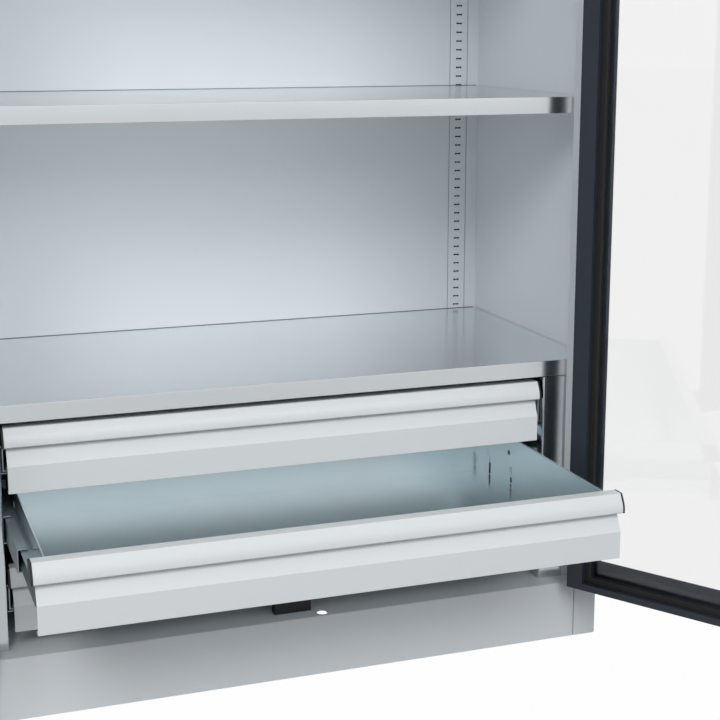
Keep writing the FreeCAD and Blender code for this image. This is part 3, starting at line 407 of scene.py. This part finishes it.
# %% Dress the drawers
TRAY_FOLD, FRONT_FOLD, HANDLE_FOLD, CAP_EDGE = 0.0004, 0.0005, 0.0003, 0.0005
for drawer in DRAWERS:
    dress(f"drawer_{drawer}_tray", tray_zinc, TRAY_FOLD)
    dress(f"drawer_{drawer}_front", front_coat, FRONT_FOLD)
    dress(f"drawer_{drawer}_handle", front_coat, HANDLE_FOLD)
    dress(f"drawer_{drawer}_caps", black_plastic, CAP_EDGE)
    dress(f"drawer_{drawer}_inner_rails", rail_zinc, 0)
    dress(f"drawer_{drawer}_middle_rails", rail_zinc, 0)
print("drawers dressed")

# %% [markdown]
# The doors are dark coated frames with a pane held in a rubber frame. The lock has a moulded plate and lever
# with generous radii, and small turned metal parts with tight ones. The works behind the plate are hidden by
# the door, but they get a finish as well, because they show when the lock is taken apart.

# %% Dress the doors and the lock
DOOR_FOLD, STRIP_FOLD = 0.0007, 0.0005
LEVER_EDGE, CYLINDER_EDGE, PLUG_EDGE = 0.0015, 0.0004, 0.0003
for side in ("right", "left"):
    dress(f"door_{side}_frame", door_coat, DOOR_FOLD)
    dress(f"door_{side}_pane", acrylic, 0)
    dress(f"door_{side}_seal", black_rubber, RUBBER_EDGE)
    dress(f"door_{side}_hinge_halves", door_coat, 0)
dress("meeting_strip", door_coat, STRIP_FOLD)
dress("lock_plate", black_plastic, RUBBER_EDGE)
dress("lock_lever", black_plastic, LEVER_EDGE)
dress("lock_cylinder", chrome, CYLINDER_EDGE)
dress("lock_plug", turned_steel, PLUG_EDGE)
for part in ("lock_gear", "lock_rod_upper", "lock_rod_lower", "lock_case"):
    dress(part, rail_zinc, 0)
dress("rod_guides", black_plastic, 0)
print("doors dressed")

# %% [markdown]
# Rivets, screws and the bright hems of the trays repeat, so Geometry Nodes make them. A tree is built once
# from named inputs, runs over a few loose points or edges, and leaves an ordinary mesh behind. A modifier
# takes each size by its socket's identifier, which is looked up by the name. Typing the heads in one by one
# would work too, but a changed radius would then have to be changed everywhere.

# %% Tools for node trees
def new_tree(name, sizes):
    """A tree with geometry in and out, a number input for each size, a turn and a finish."""
    tree = bpy.data.node_groups.new(name, "GeometryNodeTree")
    tree.interface.new_socket("Geometry", in_out="OUTPUT", socket_type="NodeSocketGeometry")
    tree.interface.new_socket("Geometry", in_out="INPUT", socket_type="NodeSocketGeometry")
    for label in sizes:
        tree.interface.new_socket(label, in_out="INPUT", socket_type="NodeSocketFloat")
    tree.interface.new_socket("Turn", in_out="INPUT", socket_type="NodeSocketVector")
    tree.interface.new_socket("Finish", in_out="INPUT", socket_type="NodeSocketMaterial")
    return tree, tree.nodes.new("NodeGroupInput").outputs


def add_step(tree, kind, **links):
    """Adds a node; each keyword is an input, with the socket or the number that goes in."""
    node = tree.nodes.new(kind)
    for label, value in links.items():
        socket = node.inputs[label.replace("_", " ")]
        if isinstance(value, bpy.types.NodeSocket):
            tree.links.new(value, socket)
        else:
            socket.default_value = value
    return node


def multiply(tree, value, factor):
    """A size times a plain number."""
    node = tree.nodes.new("ShaderNodeMath")
    node.operation = "MULTIPLY"
    tree.links.new(value, node.inputs[0])
    node.inputs[1].default_value = factor
    return node.outputs[0]


def finish_tree(tree, inputs, geometry):
    """Ends a tree: instances become real faces and get their finish."""
    real = add_step(tree, "GeometryNodeRealizeInstances", Geometry=geometry)
    painted = add_step(tree, "GeometryNodeSetMaterial", Geometry=real.outputs[0], Material=inputs["Finish"])
    add_step(tree, "NodeGroupOutput", Geometry=painted.outputs[0])
    return tree


def run_tree(name, tree, values, body, points, edges=()):
    """Runs a tree over points and edges and keeps the result as a piece that rides on a body."""
    mesh = bpy.data.meshes.new(name + "_points")
    mesh.from_pydata(points, edges, [])
    source = bpy.data.objects.new(name + "_points", mesh)
    scene.collection.objects.link(source)
    modifier = source.modifiers.new("tree", "NODES")
    modifier.node_group = tree
    for item in tree.interface.items_tree:
        if item.in_out == "INPUT" and item.name in values:
            modifier[item.identifier] = values[item.name]
    bpy.context.view_layer.update()
    result = bpy.data.meshes.new_from_object(source.evaluated_get(bpy.context.evaluated_depsgraph_get()))
    source.modifiers.clear()
    bpy.data.objects.remove(source)
    piece = bpy.data.objects.new(name, result)
    scene.collection.objects.link(piece)
    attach(piece, body)
    print(name, len(points), "points,", len(result.polygons), "faces")
    return piece


print("trees so far:", len(bpy.data.node_groups))

# %% [markdown]
# A rivet's head is a low dome, and a spot weld is almost flat under the paint. A pan-head screw is a short
# cone with a slot cut across it. Each tree puts one such head on every point, turned by the same angles.

# %% Trees for heads and hems
def heads(tree, inputs, head):
    """Puts a head on every point."""
    turned = add_step(tree, "FunctionNodeEulerToRotation", Euler=inputs["Turn"])
    points = add_step(tree, "GeometryNodeMeshToPoints", Mesh=inputs["Geometry"])
    placed = add_step(tree, "GeometryNodeInstanceOnPoints", Points=points.outputs[0], Instance=head,
                      Rotation=turned.outputs[0])
    return finish_tree(tree, inputs, placed.outputs[0])


def rivet_tree():
    """Low domes."""
    tree, inputs = new_tree("rivets", ("Radius", "Height"))
    ball = add_step(tree, "GeometryNodeMeshUVSphere", Segments=12, Rings=8, Radius=1.0)
    size = add_step(tree, "ShaderNodeCombineXYZ", X=inputs["Radius"], Y=inputs["Radius"], Z=inputs["Height"])
    dome = add_step(tree, "GeometryNodeTransform", Geometry=ball.outputs[0], Scale=size.outputs[0])
    return heads(tree, inputs, dome.outputs[0])


def screw_tree():
    """Pan heads with a straight slot; the slot's sizes are shares of the radius."""
    top_share, slot_length, slot_width = 0.78, 3, 0.3
    tree, inputs = new_tree("screws", ("Radius", "Height"))
    top = multiply(tree, inputs["Radius"], top_share)
    cone = add_step(tree, "GeometryNodeMeshCone", Vertices=20, Radius_Top=top,
                    Radius_Bottom=inputs["Radius"], Depth=inputs["Height"])
    slot_size = add_step(tree, "ShaderNodeCombineXYZ", X=multiply(tree, inputs["Radius"], slot_length),
                         Y=multiply(tree, inputs["Radius"], slot_width), Z=inputs["Height"])
    bar = add_step(tree, "GeometryNodeMeshCube", Size=slot_size.outputs[0])
    raised = add_step(tree, "ShaderNodeCombineXYZ", Z=inputs["Height"])
    lifted = add_step(tree, "GeometryNodeTransform", Geometry=bar.outputs[0], Translation=raised.outputs[0])
    slotted = tree.nodes.new("GeometryNodeMeshBoolean")
    tree.links.new(cone.outputs[0], slotted.inputs["Mesh 1"])
    tree.links.new(lifted.outputs[0], slotted.inputs["Mesh 2"])
    return heads(tree, inputs, slotted.outputs[0])


def hem_tree():
    """A thin round bead along the edges; Turn isn't used."""
    tree, inputs = new_tree("hems", ("Radius",))
    line = add_step(tree, "GeometryNodeMeshToCurve", Mesh=inputs["Geometry"])
    ring = add_step(tree, "GeometryNodeCurvePrimitiveCircle", Resolution=10, Radius=inputs["Radius"])
    tube = tree.nodes.new("GeometryNodeCurveToMesh")
    tree.links.new(line.outputs[0], tube.inputs["Curve"])
    tree.links.new(ring.outputs[0], tube.inputs["Profile Curve"])
    tube.inputs["Fill Caps"].default_value = True
    return finish_tree(tree, inputs, tube.outputs[0])


RIVETS, SCREWS, HEMS = rivet_tree(), screw_tree(), hem_tree()
print(len(bpy.data.node_groups), "trees")

# %% [markdown]
# A tray's rim is folded over, which leaves a bright bead along its two sides and its back. The bead follows
# the rim, so a circle swept along three edges makes it, and the edges are read from the tray's own box.

# %% Tray hems
HEM_RADIUS = 0.0011
HEM_INSET = 0.00075
HEM_FRONT_GAP = 0.003
for drawer in DRAWERS:
    (left, front, _), (right, rear, top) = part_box(f"drawer_{drawer}_tray")
    left, right = left + HEM_INSET, right - HEM_INSET
    front, rear = front + HEM_FRONT_GAP, rear - HEM_INSET
    height = top - HEM_RADIUS
    corners = [(left, front, height), (left, rear, height), (right, rear, height), (right, front, height)]
    run_tree(f"drawer_{drawer}_hem", HEMS, {"Radius": HEM_RADIUS, "Finish": rail_zinc}, f"drawer_{drawer}",
             corners, ((0, 1), (1, 2), (2, 3)))

# %% [markdown]
# Along the line where each shelf meets the wall runs a thin grey strip of painted shade. From the front it
# shows as the fine shadow line where the shelf meets the wall.

# %% Painted shade lines behind the shelves
STRIP_RADIUS = 0.0008
STRIP_RISE = 0.0002
STRIP_END_GAP = 0.003
wall_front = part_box("back_panel")[0].y
# The grey strip is painted shade: the dark line where each shelf meets the wall.
shelf_gap_shade = moulded("painted shade line behind a shelf", screen_colour(118, 124, 127), 0.6)
for sheet_piece in SHELF_SHEETS:
    (left, _, _), (right, _, top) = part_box(sheet_piece)
    ends = [(x, wall_front - STRIP_RADIUS, top + STRIP_RISE)
            for x in (left + STRIP_END_GAP, right - STRIP_END_GAP)]
    run_tree(f"{sheet_piece}_strip", HEMS, {"Radius": STRIP_RADIUS, "Finish": shelf_gap_shade}, "cabinet",
             ends, ((0, 1),))

# %% [markdown]
# Two rivets hold each half of a lift-off hinge. Their heads point away from the sheet, so each row is turned
# to face its own way. The doors are already open, so the places on them are worked out on the shut door and
# then swung about the hinge line, which is read from the pins.

# %% Rivets on the hinges
SHEET = 0.0015
DOOR_OPEN = math.radians(122)
FACE_FRONT, FACE_BACK = (math.pi / 2, 0, 0), (-math.pi / 2, 0, 0)
SIDES = ((1, "right"), (-1, "left"))
HINGE_LEVELS = (0.15, 0.98, 1.81)
RIVET = {"Radius": 0.0028, "Height": 0.0012, "Finish": rail_zinc}
RIVET_FROM_PIN = 0.011
POST_RIVET_RISES = (0.008, 0.022)
DOOR_RIVET_RISES = (0.0386, 0.0526)
pin_low, pin_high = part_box("hinge_pins")
hinge_y = (pin_low.y + pin_high.y) / 2
hinge_x = pin_high.x - (pin_high.y - pin_low.y) / 2
leaf_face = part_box("side_panel_right")[0].y - SHEET


def swung(side, x, y, z):
    """Where a point of a shut door is when the door is open."""
    angle = side * DOOR_OPEN
    along, out = x - side * hinge_x, y - hinge_y
    return (side * hinge_x + along * math.cos(angle) - out * math.sin(angle),
            hinge_y + along * math.sin(angle) + out * math.cos(angle), z)


post_points = [(side * (hinge_x + RIVET_FROM_PIN), leaf_face, level + rise)
               for side, _ in SIDES for level in HINGE_LEVELS for rise in POST_RIVET_RISES]
run_tree("post_hinge_rivets", RIVETS, {**RIVET, "Turn": FACE_FRONT}, "cabinet",
         post_points)
for side, name in SIDES:
    door_points = [swung(side, side * (hinge_x - RIVET_FROM_PIN), leaf_face, level + rise)
                   for level in HINGE_LEVELS for rise in DOOR_RIVET_RISES]
    facing = (math.pi / 2, 0, side * DOOR_OPEN)
    run_tree(f"door_{name}_hinge_rivets", RIVETS, {**RIVET, "Turn": facing}, f"door_{name}",
             door_points)

# %% [markdown]
# Spot welds show on the outside of the side walls and the back, in rows with an even step. Under the paint
# each is a dimple that is hardly raised. They use the rivets' tree, wider and much flatter.

# %% Spot welds
WELD = {"Radius": 0.0035, "Height": 0.0003, "Finish": grey_coat}
WELD_LEVELS = [0.16 + 0.14 * step for step in range(13)]
BACK_WELD_COLUMNS = (-0.43, -0.215, 0, 0.215, 0.43)
SIDE_WELD_ROWS = (-0.2, 0.238)
back_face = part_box("back_panel")[0].y + SHEET
run_tree("back_welds", RIVETS, {**WELD, "Turn": FACE_BACK}, "cabinet",
         [(x, back_face, z) for x in BACK_WELD_COLUMNS for z in WELD_LEVELS])
for side, name in SIDES:
    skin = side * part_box("side_panel_right")[1].x
    run_tree(f"side_{name}_welds", RIVETS, {**WELD, "Turn": (0, side * math.pi / 2, 0)}, "cabinet",
             [(skin, y, z) for y in SIDE_WELD_ROWS for z in WELD_LEVELS])

# %% [markdown]
# Two slotted screws hold the lock's plate, one above the lever and one below the key. Their places are
# given on the shut door and swung with it, and the slots lie level, as a careful fitter leaves them.

# %% Lock plate screws
PLATE_FACE_Y, SPINDLE_X = -0.256, 0.03
SCREW_LEVELS = (0.952, 1.04)
SCREW = {"Radius": 0.0032, "Height": 0.0016, "Finish": chrome}
plate_points = [swung(1, SPINDLE_X, PLATE_FACE_Y, level) for level in SCREW_LEVELS]
run_tree("lock_plate_screws", SCREWS, {**SCREW, "Turn": (math.pi / 2, 0, DOOR_OPEN)}, "door_right",
         plate_points)

# %% [markdown]
# The picture has a white background. The surroundings are white for rays that look at them, straight on,
# by reflection or through the panes, while the light they give the object stays at a plain level. The pale
# floor catches a soft shadow, and most of what the camera sees of it is white too.


# %% White surroundings
def white_to_the_eye(tree, mirrored_white):
    """The share of white for a ray that looks at the background, and how strong that white is."""
    path = tree.nodes.new("ShaderNodeLightPath")
    total = path.outputs["Is Camera Ray"]
    for kind in ("Is Glossy Ray", "Is Transmission Ray"):
        either = tree.nodes.new("ShaderNodeMath")
        either.operation = "MAXIMUM"
        tree.links.new(total, either.inputs[0])
        tree.links.new(path.outputs[kind], either.inputs[1])
        total = either.outputs["Value"]
    mirrored = tree.nodes.new("ShaderNodeMath")
    mirrored.operation = "SUBTRACT"
    mirrored.use_clamp = True
    tree.links.new(path.outputs["Is Glossy Ray"], mirrored.inputs[0])
    tree.links.new(path.outputs["Is Transmission Ray"], mirrored.inputs[1])
    strength = tree.nodes.new("ShaderNodeMapRange")
    strength.inputs["To Min"].default_value = 1
    strength.inputs["To Max"].default_value = mirrored_white
    tree.links.new(mirrored.outputs["Value"], strength.inputs["Value"])
    return total, strength.outputs["Result"]


WORLD_TINT, WORLD_STRENGTH = (0.93, 0.97, 1.0, 1), 0.54
WORLD_MIRRORED = 0.95


def white_world():
    """Plain soft light for the object, and white for the eye."""
    world = bpy.data.worlds.new("studio")
    world.use_nodes = True
    tree = world.node_tree
    background = tree.nodes["Background"]
    background.inputs["Color"].default_value = WORLD_TINT
    background.inputs["Strength"].default_value = WORLD_STRENGTH
    bright = tree.nodes.new("ShaderNodeBackground")
    bright.inputs["Color"].default_value = (1, 1, 1, 1)
    share, strength = white_to_the_eye(tree, WORLD_MIRRORED)
    tree.links.new(strength, bright.inputs["Strength"])
    blend = tree.nodes.new("ShaderNodeMixShader")
    tree.links.new(share, blend.inputs["Fac"])
    tree.links.new(background.outputs["Background"], blend.inputs[1])
    tree.links.new(bright.outputs["Background"], blend.inputs[2])
    tree.links.new(blend.outputs["Shader"], tree.nodes["World Output"].inputs["Surface"])
    return world


scene.world = white_world()
print("world:", scene.world.name)

# %% [markdown]
# The floor is one big plane just under the feet. To the eye it glows almost white, as the background does,
# and the small part of it that is real grey keeps a soft shadow under the cabinet.


# %% Floor
FLOOR_SIZE, FLOOR_LEVEL = 60, -0.0005
FLOOR_WHITENESS, FLOOR_MIRRORED = 0.985, 0.66
FLOOR_GREY = (0.2, 0.2, 0.21, 1)


def floor_material():
    """Grey paper that looks almost white."""
    material, tree, shader, _ = new_material("studio floor")
    shader.inputs["Base Color"].default_value = FLOOR_GREY
    shader.inputs["Roughness"].default_value = 0.8
    shader.inputs["Specular IOR Level"].default_value = 0.1
    glow = tree.nodes.new("ShaderNodeEmission")
    whiteness = tree.nodes.new("ShaderNodeMath")
    whiteness.operation = "MULTIPLY"
    whiteness.inputs[1].default_value = FLOOR_WHITENESS
    blend = tree.nodes.new("ShaderNodeMixShader")
    seen, strength = white_to_the_eye(tree, FLOOR_MIRRORED)
    tree.links.new(strength, glow.inputs["Strength"])
    tree.links.new(seen, whiteness.inputs[0])
    tree.links.new(whiteness.outputs["Value"], blend.inputs["Fac"])
    tree.links.new(shader.outputs["BSDF"], blend.inputs[1])
    tree.links.new(glow.outputs["Emission"], blend.inputs[2])
    tree.links.new(blend.outputs["Shader"], tree.nodes["Material Output"].inputs["Surface"])
    return material


bpy.ops.mesh.primitive_plane_add(size=FLOOR_SIZE, location=(0, 0, FLOOR_LEVEL))
floor = bpy.context.active_object
floor.name = "studio_floor"
floor.data.materials.append(floor_material())
print("floor", FLOOR_SIZE, "m wide")

# %% [markdown]
# The biggest soft lamp stands far out in front and high up, a little to the right, and a smaller one to the
# left, so that light reaches the back wall under each shelf. A tall weak lamp in the door opening stands for
# the light that white walls throw inside, and another lights the back. The lamps aren't seen in the metal,
# which mirrors the white surroundings instead of bright squares.


# %% Lamps
def soft_light(name, place, target, size, power, colour=(1, 1, 1), height=None):
    """An area light that points at a target; it is square where height is left out."""
    data = bpy.data.lights.new(name, "AREA")
    data.shape = "RECTANGLE"
    data.size = size
    data.size_y = height or size
    data.energy = power
    data.color = colour
    light = bpy.data.objects.new(name, data)
    scene.collection.objects.link(light)
    light.location = place
    light.rotation_euler = (Vector(target) - Vector(place)).to_track_quat("-Z", "Y").to_euler()
    light.visible_camera = False
    light.visible_glossy = False
    light.visible_transmission = False
    return light


COOL_WHITE = (0.95, 0.985, 1.0)
soft_light("key light", (1.3, -7.0, 4.2), (0, 0, 0.7), size=3.8, power=208)
soft_light("left light", (-2.3, -4.2, 3.6), (0.3, 0, 0.7), size=1.8, power=112)
soft_light("inner fill", (-0.1, -0.235, 1.17), (-0.1, 0.2, 1.17), size=0.68, power=3.7, colour=COOL_WHITE,
           height=1.4)
soft_light("back light", (1.8, 3.6, 2.6), (0, 0, 1.0), size=2.4, power=60)
print(len(bpy.data.lights), "lamps")

# %% [markdown]
# Standard shows a colour as it is written, so the finishes can be compared with the real ones. A filmic view
# would soften the brightest parts, but it would also turn every white into grey.

# %% View settings
scene.view_settings.view_transform = "Standard"
print("view:", scene.view_settings.view_transform)
